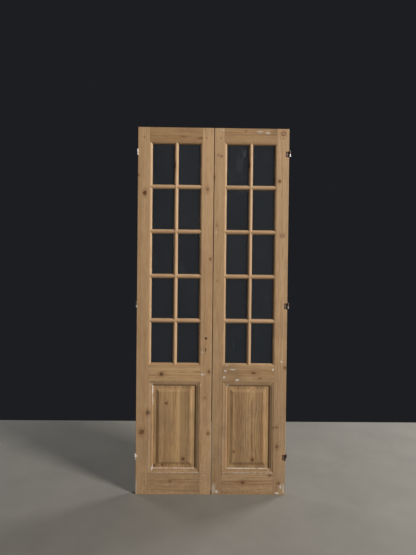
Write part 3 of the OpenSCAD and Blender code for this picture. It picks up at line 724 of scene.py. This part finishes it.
@dataclass
class Board:
    """One pine board: a CAD node, the way its grain runs and its own marks.

    Args:
        node: the CAD node's name.
        grain: which way its grain runs.
        tone: its shade.
        seed: what sets its own figure.
        pith: place of the tree's middle across the board, in metres from the board's middle.
        dirt: dark lines on it, such as its joints and broad bands, and on the panel moulding painted
            shade in its hollow.
        streaks: light lines of old paint on it.
        shade: how light it is beside its tone.
        specks: how strong the small specks of paint low down on it are.
    """

    node: str
    grain: Grain
    tone: PineTone
    seed: float
    pith: float = 0.0
    dirt: tuple[Line, ...] = ()
    streaks: tuple[Line, ...] = ()
    shade: float = 1.0
    specks: float = 0.0

    def marks(self, marks: tuple, reach: float) -> tuple:
        """Keeps the marks that reach this board.

        Args:
            marks: knots or patches.
            reach: how far a mark reaches past its centre, in metres.

        Returns:
            Those over the board's box, grown by the reach.
        """
        low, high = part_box(self.node)
        return tuple(
            mark for mark in marks
            if low.x - reach <= EDGE_X + mark.x * MM <= high.x + reach
            and low.z - reach <= mark.z * MM <= high.z + reach
        )

    def varied(self, middle: float, swing: float, pace: float) -> float:
        """Gives a size that varies with the board's seed."""
        return middle + swing * math.sin(self.seed * pace)

    def draw_knots(self, work: Paintwork, effects: Effects, across: Socket, along: Socket,
                   ragged: Socket) -> tuple[Input, Input, Input]:
        """Draws the board's knots.

        Args:
            work: the material.
            effects: the shared groups.
            across: place across the grain.
            along: place along it.
            ragged: noise for their rims.

        Returns:
            How far the grain bends, and the masks of the cores and the halos.
        """
        bend: Input = 0.0
        core: Input = 0.0
        halo: Input = 0.0
        for knot in self.marks(KNOTS, KNOT_REACH):
            centre, height = EDGE_X + knot.x * MM, knot.z * MM
            if self.grain is Grain.LEVEL:
                centre, height = height, centre
            node = work.graph.group(
                effects.knot, Across=across, Along=along, Bend=bend, Core=core, Halo=halo,
                Centre=centre, Height=height, Radius=knot.radius * KNOT_SPREAD * MM,
                Length=knot.length, Depth=knot.depth, Hollow=knot.hollow, Ragged=ragged,
            )
            bend, core, halo = (node.outputs[label] for label in ("Bend", "Core", "Halo"))
        return bend, core, halo

    def old_paint(self, work: Paintwork, effects: Effects, cloud: Socket) -> Socket:
        """Draws the streaks, patches and specks of old paint on the front.

        Args:
            work: the material.
            effects: the shared groups.
            cloud: noise that gathers the specks.

        Returns:
            The paint's mask.
        """
        g = work.graph
        _, y, z = g.split(work.spot)
        paint = draw_lines(work, effects, self.streaks, g.noise(work.spot, *TEAR))
        fleck = g.noise(work.spot, *FLECK)
        paint = draw_patches(work, effects, self.marks(PAINT, PATCH_REACH), paint, fleck)
        speck = g.times(g.step(g.noise(work.spot, *SPECK), *SPECK_RISE), g.step(cloud, *SPECK_ZONE))
        paint = g.math("MAXIMUM", paint, g.times(speck, g.fall(z, *SPECK_TOP), self.specks))
        return g.times(g.fall(y, *PAINT_DEPTH), paint)

    def material(self, effects: Effects) -> bpy.types.Material:
        """Builds this board's own material.

        Args:
            effects: the shared groups.

        Returns:
            The material.
        """
        work = Paintwork("pine_" + self.node)
        g, tone, moved = work.graph, self.tone, (self.seed, 0.0, 0.0)
        x, y, z = g.split(work.spot)
        level = self.grain is Grain.LEVEL
        across, along = (z, x) if level else (x, z)
        low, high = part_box(self.node)
        middle = (low + high) / 2
        ragged = g.noise(work.spot, *RAGGED)
        bend, core, halo = self.draw_knots(work, effects, across, along, ragged)
        board = g.group(
            effects.board, Point=g.join(g.add(across, bend), y, along), Seed=self.seed,
            Pith=(middle.z if level else middle.x) + self.pith,
            Pith_Depth=self.varied(*PITH_DEPTH), Ring_Width=self.varied(*RING_WIDTH),
        )
        ring, fibre, broad = (board.outputs[label] for label in ("Ring", "Fibre", "Tone"))
        stretched = g.join(across, y, g.times(along, MOTTLE_SQUEEZE))
        mottle = g.noise(g.shift(stretched, moved), *MOTTLE)
        late = g.add(
            g.times(ring, tone.rings), g.swing(fibre, FIBRE_SHARE),
            g.swing(broad, tone.stripes * STRIPE_SHARE), g.swing(mottle, MOTTLE_SHARE),
        )
        late = g.math("ADD", late, LATE_BASE, clamp=True)
        colour = g.mix(late, toned(tone.early, self.shade), toned(tone.late, self.shade))
        cloud = g.noise(g.shift(work.spot, moved), *CLOUD)
        stain = g.times(g.step(cloud, *STAIN_RISE), tone.grime * STAIN_SHARE)
        foot = g.times(g.fall(z, 0.0, FOOT_TOP), g.step(ragged, *FOOT_RISE), FOOT_SHARE)
        fine = g.times(g.step(g.noise(work.spot, *FINE), *FINE_RISE), tone.grime)
        # Dark lines: the joints, the broad bands, and the painted shade in the moulding's hollow
        joints = draw_lines(work, effects, self.dirt, WHOLE)
        paint = self.old_paint(work, effects, cloud)
        layers = (
            (stain, GRIME), (g.times(halo, HALO_SHARE), KNOT_HALO),
            (g.times(core, CORE_SHARE), KNOT_CORE), (foot, GRIME), (fine, GRIME),
            (joints, DARK_LINE_AND_SHADE), (paint, PAINT_WHITE),
        )
        for mask, shade in layers:
            colour = g.mix(mask, colour, shade)
        rough = (g.times(part, by) for part, by in zip((fibre, ring, core), ROUGH_SHARES))
        relief = (g.times(part, by) for part, by in zip((fibre, ring, core, paint), RELIEF_SHARES))
        work.wear(Base_Color=colour, Roughness=g.add(WOOD_ROUGH, *rough),
                  Specular_IOR_Level=WOOD_SPECULAR)
        work.emboss(g.add(*relief), RELIEF_STRENGTH, RELIEF_DEPTH)
        return work.material


@dataclass(frozen=True)
class IronFinish:
    """Old iron or steel, bare, rusty or painted over.

    Args:
        name: the material's name.
        metal: colour of the bare metal.
        rust: colour of the rust.
        rusty: how much of it is rust, from 0 to 1.
        painted: how much of it is painted over.
        shine: metallic value of the bare metal.
        tarnish: how light its tarnish is beside the metal.
        bloom: how light the rust's bloom is beside the rust.
        bloom_rise: the grit values between which the bloom shows.
        blotch: noise of the rust: scale, octaves and roughness.
        grit: noise of the grit.
        flake: noise of the old paint.
        flake_shift: what sets the paint's noise apart.
        rust_edge: where rust starts on sound iron, what full rust takes off, half its softness.
        paint_edge: the same for paint.
        ragged: how far grit breaks the rust's edge.
        grit_share: how much grit shows in the bare metal and in the relief.
        rough: roughness of the bare metal, and what rust and grit add to it.
        relief: strength of the relief, and its depth in metres.
    """

    name: str
    metal: Colour
    rust: Colour = (0.075, 0.042, 0.026)
    rusty: float = 0.5
    painted: float = 0.0
    shine: float = 0.9
    tarnish: float = 0.6
    bloom: float = 1.8
    bloom_rise: Span = (0.3, 0.7)
    blotch: Triple = (130.0, 5.0, 0.65)
    grit: Triple = (900.0, 3.0, 0.6)
    flake: Triple = (170.0, 4.0, 0.6)
    flake_shift: Triple = (3.1, 0.0, 0.7)
    rust_edge: Triple = (0.75, 0.5, 0.08)
    paint_edge: Triple = (0.8, 0.6, 0.03)
    ragged: float = 0.25
    grit_share: float = 0.5
    rough: Triple = (0.42, 0.4, 0.12)
    relief: Span = (0.5, 0.0004)

    @staticmethod
    def edge(start: float, full: float, soft: float, share: float) -> Span:
        """Gives the noise values between which rust or paint rises."""
        middle = start - full * share
        return middle - soft, middle + soft

    def material(self) -> bpy.types.Material:
        """Builds the material.

        Returns:
            The material.
        """
        work = Paintwork(self.name)
        g = work.graph
        grit = g.noise(work.spot, *self.grit)
        broken = g.add(g.noise(work.spot, *self.blotch), g.swing(grit, self.ragged))
        rust = g.step(broken, *self.edge(*self.rust_edge, self.rusty))
        flake = g.noise(g.shift(work.spot, self.flake_shift), *self.flake)
        paint = g.step(flake, *self.edge(*self.paint_edge, self.painted))
        bare = g.mix(g.times(grit, self.grit_share), self.metal, toned(self.metal, self.tarnish))
        bloom = g.mix(g.step(grit, *self.bloom_rise), self.rust, toned(self.rust, self.bloom))
        sound = g.times(g.less(1.0, rust), g.less(1.0, paint))
        smooth, rusted, gritty = self.rough
        work.wear(
            Base_Color=g.mix(paint, g.mix(rust, bare, bloom), PAINT_WHITE),
            Metallic=g.times(sound, self.shine),
            Roughness=g.add(smooth, g.times(rust, rusted), g.times(grit, gritty)),
        )
        work.emboss(g.add(g.times(grit, self.grit_share), rust, paint), *self.relief)
        return work.material


@dataclass(frozen=True)
class GlassFinish:
    """Old sheet glass with a thin film of dust and a few smears.

    Args:
        name: the material's name.
        seed: what sets its dust.
        dusty: how strong its film of dust is.
        clean: tint of the clean glass.
        milky: tint under the dust.
        film: scale of the dust's clouds.
        runs: scale of its upright runs.
        shares: how much clouds and runs count.
        dust_rise: the values between which the dust rises.
        wipe: scale of the grain in the smears.
        wave: scale of the glass's waves.
        rough: roughness of clean glass, and what dust and smears add to it.
        clear: how much light passes.
        ior: its index of refraction.
        relief: strength of the waves, and their depth in metres.
    """

    name: str
    seed: float
    dusty: float = 0.4
    clean: Colour = (0.62, 0.68, 0.72)
    milky: Colour = (0.95, 0.98, 1.0)
    film: Triple = (6.0, 6.0, 2.2)
    runs: Triple = (60.0, 60.0, 3.0)
    shares: Span = (0.7, 0.3)
    dust_rise: Span = (0.42, 0.68)
    wipe: Triple = (90.0, 90.0, 28.0)
    wave: float = 9.0
    rough: Triple = (0.015, 0.12, 0.32)
    clear: float = 0.98
    ior: float = 1.48
    relief: Span = (0.15, 0.001)

    def material(self, effects: Effects) -> bpy.types.Material:
        """Builds the material.

        Args:
            effects: the shared groups.

        Returns:
            The material.
        """
        work = Paintwork(self.name)
        g = work.graph
        spot = g.shift(work.spot, (self.seed, 0.0, self.seed * 2.0))
        film = g.noise(g.scale(spot, self.film), 1.0, 4.0, 0.6)
        runs = g.noise(g.scale(spot, self.runs), 1.0, 3.0, 0.6)
        clouds, streams = self.shares
        dust = g.step(g.add(g.times(film, clouds), g.times(runs, streams)), *self.dust_rise)
        dust = g.times(dust, self.dusty)
        fleck = g.noise(g.scale(work.spot, self.wipe), 1.0, 5.0, 0.7)
        wiped = draw_patches(work, effects, SMEARS, 0.0, fleck)
        smooth, dusted, smeared = self.rough
        work.wear(
            Base_Color=g.mix(dust, self.clean, self.milky),
            Roughness=g.add(smooth, g.times(dust, dusted), g.times(wiped, smeared)),
            Transmission_Weight=self.clear,
            IOR=self.ior,
        )
        work.emboss(g.noise(spot, self.wave, 1.0), *self.relief)
        return work.material


@dataclass(frozen=True)
class PuttyFinish:
    """Old hard putty with dirt.

    Args:
        name: the material's name.
        fresh: its lighter colour.
        aged: its darker colour.
        cloud: noise of its tone: scale, octaves and roughness.
        grit: noise of its grit.
        age_rise: the cloud values between which it darkens.
        dirt_rise: the grit values between which dirt shows.
        dirt: how strong the dirt is.
        rough: its roughness, and what grit adds to it.
        relief: strength of the relief, and its depth in metres.
    """

    name: str
    fresh: Colour = (0.4, 0.35, 0.28)
    aged: Colour = (0.25, 0.2, 0.145)
    cloud: Triple = (28.0, 4.0, 0.65)
    grit: Triple = (420.0, 3.0, 0.6)
    age_rise: Span = (0.35, 0.7)
    dirt_rise: Span = (0.55, 0.75)
    dirt: float = 0.35
    rough: Span = (0.68, 0.2)
    relief: Span = (0.4, 0.0006)

    def material(self) -> bpy.types.Material:
        """Builds the material.

        Returns:
            The material.
        """
        work = Paintwork(self.name)
        g = work.graph
        cloud = g.noise(work.spot, *self.cloud)
        grit = g.noise(work.spot, *self.grit)
        colour = g.mix(g.step(cloud, *self.age_rise), self.fresh, self.aged)
        colour = g.mix(g.times(g.step(grit, *self.dirt_rise), self.dirt), colour, GRIME)
        smooth, gritty = self.rough
        work.wear(Base_Color=colour, Roughness=g.add(smooth, g.times(grit, gritty)))
        work.emboss(g.add(grit, cloud), *self.relief)
        return work.material


HINGE_IRON = IronFinish("hinge_iron", (0.3, 0.27, 0.25), rusty=0.85)
JAMB_STEEL = IronFinish("jamb_hinge_steel", (0.55, 0.54, 0.53), rusty=0.25, painted=0.35)
SCREW_STEEL = IronFinish("screw_steel", (0.42, 0.38, 0.34), rusty=0.45)
PLATE_STEEL = IronFinish("plate_steel", (0.36, 0.34, 0.32), rusty=0.45, painted=0.1)
WORKS_STEEL = IronFinish("works_steel", (0.5, 0.48, 0.45), rusty=0.3)


def dress(node: str, material: bpy.types.Material) -> None:
    """Gives a CAD node its material.

    Args:
        node: the node's name.
        material: the material.
    """
    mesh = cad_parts[node].data
    mesh.materials.clear()
    mesh.materials.append(material)
    LOG.info("%s wears %s", node, material.name)


# ---------------------------------------- the leaves

# Each rail's foot and head, in millimetres, and its shade
RAILS = {
    "top_rail": (2340, 2432, TOP_RAIL_TONE),
    "lock_rail": (756, 860, LOCK_RAIL_TONE),
    "bottom_rail": (0, 141, FOOT_RAIL_TONE),
}

# The dark line at a joint: half its width in millimetres, and its strength
JOINT_HALF = 1.6
JOINT_STRENGTH = 0.8

# Painted shade in the hollow of the panel's moulding, in millimetres: upright down its right side,
# then level along its top
PAINTED_SHADE_INSET = 22
PAINTED_SHADE_SPAN = (165, 735)
PAINTED_SHADE_HALF = 9
PAINTED_SHADE_TOP = 731
PAINTED_SHADE_MITRE = 20
PAINTED_SHADE_TOP_HALF = 5
PAINTED_SHADE_STRENGTH = 0.5

# How much of each hinge half is painted over
HINGE_PAINT = {
    Side.LEFT: {"top": 0.75, "middle": 0.35, "bottom": 0.75},
    Side.RIGHT: {"top": 0.1, "middle": 0.1, "bottom": 0.1},
}


@dataclass
class Leaf:
    """One leaf: its joinery, its panes, its panel and its hinge halves.

    Args:
        side: which leaf.
        seed: what sets its figure.
        joints: where its stiles end, from the pair's left edge, in millimetres.
        streaks: lines of old paint on its panel moulding.
        bands: broad darker bands down its panel and its stiles.
        shade: how light its wood is.
        specks: how strong the small specks of paint on it are.
        rows: number of rows of panes, with a cross bar between each two.
    """

    side: Side
    seed: float
    joints: Span
    streaks: tuple[Line, ...]
    bands: tuple[Line, ...]
    shade: float = 1.0
    specks: float = 0.25
    rows: int = 5

    def name(self, piece: str) -> str:
        """Gives the full name of one of the leaf's nodes."""
        return f"{self.side.value}_{piece}"

    def boards(self) -> list[Board]:
        """Lists the leaf's boards.

        Returns:
            One board for each wooden node.
        """
        left, right = self.joints
        name, seed = self.name, self.seed
        # Painted shade: dark lines down the right side of the panel moulding and along its top,
        # where shade falls in its hollow
        hollow = (
            Line(right - PAINTED_SHADE_INSET, *PAINTED_SHADE_SPAN, PAINTED_SHADE_HALF, strength=PAINTED_SHADE_STRENGTH),
            Line(PAINTED_SHADE_TOP, left + PAINTED_SHADE_MITRE, right - PAINTED_SHADE_MITRE, PAINTED_SHADE_TOP_HALF, True,
                 PAINTED_SHADE_STRENGTH),
        )
        boards = [
            Board(name("hinge_stile"), Grain.UPRIGHT, FRAME_TONE, seed + 0.4, 0.01, self.bands),
            Board(name("meeting_stile"), Grain.UPRIGHT, FRAME_TONE, seed + 1.9, -0.015, self.bands),
        ]
        for number, (piece, (low, high, tone)) in enumerate(RAILS.items()):
            ends = tuple(Line(place, low, high, JOINT_HALF, strength=JOINT_STRENGTH)
                         for place in self.joints)
            boards.append(Board(name(piece), Grain.LEVEL, tone, seed + 3.1 + number, 0.02, ends))
        boards.append(Board(name("upright_bar"), Grain.UPRIGHT, BAR_TONE, seed + 7.2))
        for number in range(1, self.rows):
            bar = name(f"cross_bar_{number}")
            boards.append(Board(bar, Grain.LEVEL, BAR_TONE, seed + 8 + number))
        boards += [
            Board(name("panel"), Grain.UPRIGHT, PANEL_TONE, seed + 13.3, 0.03, self.bands),
            # The moulding's dark lines are painted shade
            Board(name("panel_moulding"), Grain.UPRIGHT, MOULD_TONE, seed + 14.6, 0.0, hollow,
                  self.streaks),
            Board(name("pegs"), Grain.UPRIGHT, PEG_TONE, seed + 15.1),
        ]
        return boards

    def dress_hinges(self) -> None:
        """Dresses the hinge halves on the leaf and on the jamb, and their screws."""
        for place, painted in HINGE_PAINT[self.side].items():
            iron = replace(HINGE_IRON, name=self.name(f"hinge_iron_{place}"), painted=painted)
            dress(self.name(f"hinge_{place}"), iron.material())
            steel = replace(JAMB_STEEL, name=self.name(f"jamb_hinge_steel_{place}"))
            dress(self.name(f"jamb_hinge_{place}"), steel.material())
        screws = replace(SCREW_STEEL, name=self.name("screw_steel"))
        dress(self.name("hinge_screws"), screws.material())

    def dress(self, effects: Effects) -> None:
        """Dresses every node of the leaf.

        Args:
            effects: the shared groups.
        """
        for board in self.boards():
            board.shade = self.shade
            board.specks = self.specks
            dress(board.node, board.material(effects))
        for row in range(1, self.rows + 1):
            finish = GlassFinish(self.name(f"glass_{row}"), self.seed + row)
            dress(self.name(f"panes_row_{row}"), finish.material(effects))
        dress(self.name("putty"), PuttyFinish(self.name("old_putty")).material())
        self.dress_hinges()


@dataclass
class Lock:
    """The mortise lock and its strike.

    Args:
        plates: its outer steel pieces.
        works: its inner pieces.
        screws: its screws.
    """

    plates: tuple[str, ...] = ("lock_case", "strike_plate")
    works: tuple[str, ...] = ("lock_follower", "latch_bolt", "dead_bolt", "latch_spring")
    screws: tuple[str, ...] = ("lock_screws", "strike_screws")

    def dress(self) -> None:
        """Dresses the lock's pieces."""
        kinds = ((self.plates, PLATE_STEEL), (self.works, WORKS_STEEL), (self.screws, SCREW_STEEL))
        for nodes, finish in kinds:
            for node in nodes:
                dress(node, replace(finish, name=node + "_steel").material())


# ---------------------------------------- the studio


@dataclass(frozen=True)
class Lamp:
    """One soft rectangular light, itself unseen.

    Args:
        name: its name.
        place: where it stands.
        aim: what it points at.
        size: its width and height.
        power: its power in watts.
        colour: its colour.
    """

    name: str
    place: Triple
    aim: Triple
    size: Span
    power: float
    colour: Colour

    def build(self) -> None:
        """Adds the light."""
        data = bpy.data.lights.new(self.name, "AREA")
        data.shape = "RECTANGLE"
        data.size, data.size_y = self.size
        data.energy = self.power
        data.color = self.colour
        light = bpy.data.objects.new(self.name, data)
        light.location = self.place
        light.visible_camera = False
        light.visible_transmission = False
        toward = Vector(self.aim) - Vector(self.place)
        light.rotation_euler = toward.to_track_quat("-Z", "Y").to_euler()
        bpy.context.scene.collection.objects.link(light)


WARM: Colour = (1.0, 0.98, 0.95)
COOL: Colour = (0.95, 0.97, 1.0)

LAMPS = (
    Lamp("key", (5.4, -4.1, 4.6), (0.0, 0.0, 1.1), (1.5, 1.5), 650.0, WARM),
    Lamp("fill", (2.6, -4.4, 0.9), (0.0, 0.0, 0.9), (1.5, 1.2), 11.0, COOL),
    Lamp("back", (4.8, 3.0, 3.4), (0.0, 0.0, 1.2), (1.8, 1.8), 230.0, COOL),
    Lamp("back_fill", (-4.8, 3.6, 2.2), (0.0, 0.0, 1.2), (1.8, 1.8), 110.0, COOL),
)


@dataclass
class Studio:
    """The floor, the lights and the camera.

    Args:
        floor_back: how far the floor runs behind the doors, in metres.
        floor_front: how far it runs before them.
        floor_half: half its width.
        floor_drop: how far it lies under them.
        floor_dark: its darker tone.
        floor_light: its lighter tone.
        floor_cloud: noise of its tone: scale, octaves and roughness.
        floor_rough: its roughness.
        room: colour of the dim surroundings.
        eye: the camera's place.
        yaw: its turn towards +X, in degrees.
        pitch: its tilt upward, in degrees.
        roll: its roll, in degrees.
        lens: its focal length, in millimetres.
        sensor: the long side of its sensor, in millimetres.
        near: where its view starts, in metres.
    """

    floor_back: float = 1.35
    floor_front: float = 3.2
    floor_half: float = 3.4
    floor_drop: float = 0.0006
    floor_dark: Colour = (0.17, 0.158, 0.135)
    floor_light: Colour = (0.26, 0.242, 0.208)
    floor_cloud: Triple = (2.5, 6.0, 0.65)
    floor_rough: float = 0.85
    room: Colour = (0.0125, 0.013, 0.0155)
    eye: Triple = (-0.0652, -2.77925, 1.478)
    yaw: float = 0.71
    pitch: float = -0.67
    roll: float = 0.60
    lens: float = 27.048649
    sensor: float = 36.0
    near: float = 0.05

    def build_floor(self) -> None:
        """Builds the plain floor."""
        half, front, back = self.floor_half, -self.floor_front, self.floor_back
        mesh = bpy.data.meshes.new("floor")
        corners = [(-half, front, 0), (half, front, 0), (half, back, 0), (-half, back, 0)]
        mesh.from_pydata(corners, [], [(0, 1, 2, 3)])
        floor = bpy.data.objects.new("floor", mesh)
        floor.location.z = -self.floor_drop
        bpy.context.scene.collection.objects.link(floor)
        work = Paintwork("pale_floor")
        cloud = work.graph.noise(work.spot, *self.floor_cloud)
        colour = work.graph.mix(cloud, self.floor_dark, self.floor_light)
        work.wear(Base_Color=colour, Roughness=self.floor_rough)
        mesh.materials.append(work.material)

    def build_lights(self) -> None:
        """Builds the lamps and the dim surroundings."""
        for lamp in LAMPS:
            lamp.build()
        world = bpy.data.worlds.new("studio")
        world.use_nodes = True
        world.node_tree.nodes["Background"].inputs["Color"].default_value = (*self.room, 1.0)
        bpy.context.scene.world = world

    def build_camera(self) -> None:
        """Builds the camera at its viewing angle."""
        yaw, pitch, roll = (math.radians(angle) for angle in (self.yaw, self.pitch, self.roll))
        flat = math.cos(pitch)
        ahead = Vector((math.sin(yaw) * flat, math.cos(yaw) * flat, math.sin(pitch)))
        right = Vector((math.cos(yaw), -math.sin(yaw), 0.0))
        up = right.cross(ahead)
        right, up = (math.cos(roll) * right + math.sin(roll) * up,
                     -math.sin(roll) * right + math.cos(roll) * up)
        data = bpy.data.cameras.new("camera")
        data.sensor_width = self.sensor
        data.lens = self.lens
        data.clip_start = self.near
        camera = bpy.data.objects.new("camera", data)
        turn = Matrix((right, up, -ahead)).transposed()
        camera.matrix_world = Matrix.Translation(self.eye) @ turn.to_4x4()
        bpy.context.scene.collection.objects.link(camera)
        bpy.context.scene.camera = camera

    def build(self) -> None:
        """Builds the whole studio."""
        self.build_camera()
        self.build_floor()
        self.build_lights()
        bpy.context.scene.view_settings.view_transform = "Standard"


def main() -> None:
    """Dresses the doors and builds the studio."""
    logging.basicConfig(level=logging.INFO, format="%(message)s")
    Studio().build()
    effects = Effects()
    for leaf in (Leaf(Side.LEFT, 2.0, (79.0, 425.0), LEFT_STREAKS, LEFT_BANDS),
                 Leaf(Side.RIGHT, 31.0, (572.0, 918.0), RIGHT_STREAKS, RIGHT_BANDS, 0.9, 0.55)):
        leaf.dress(effects)
    Lock().dress()


if __name__ == "__main__":
    main()
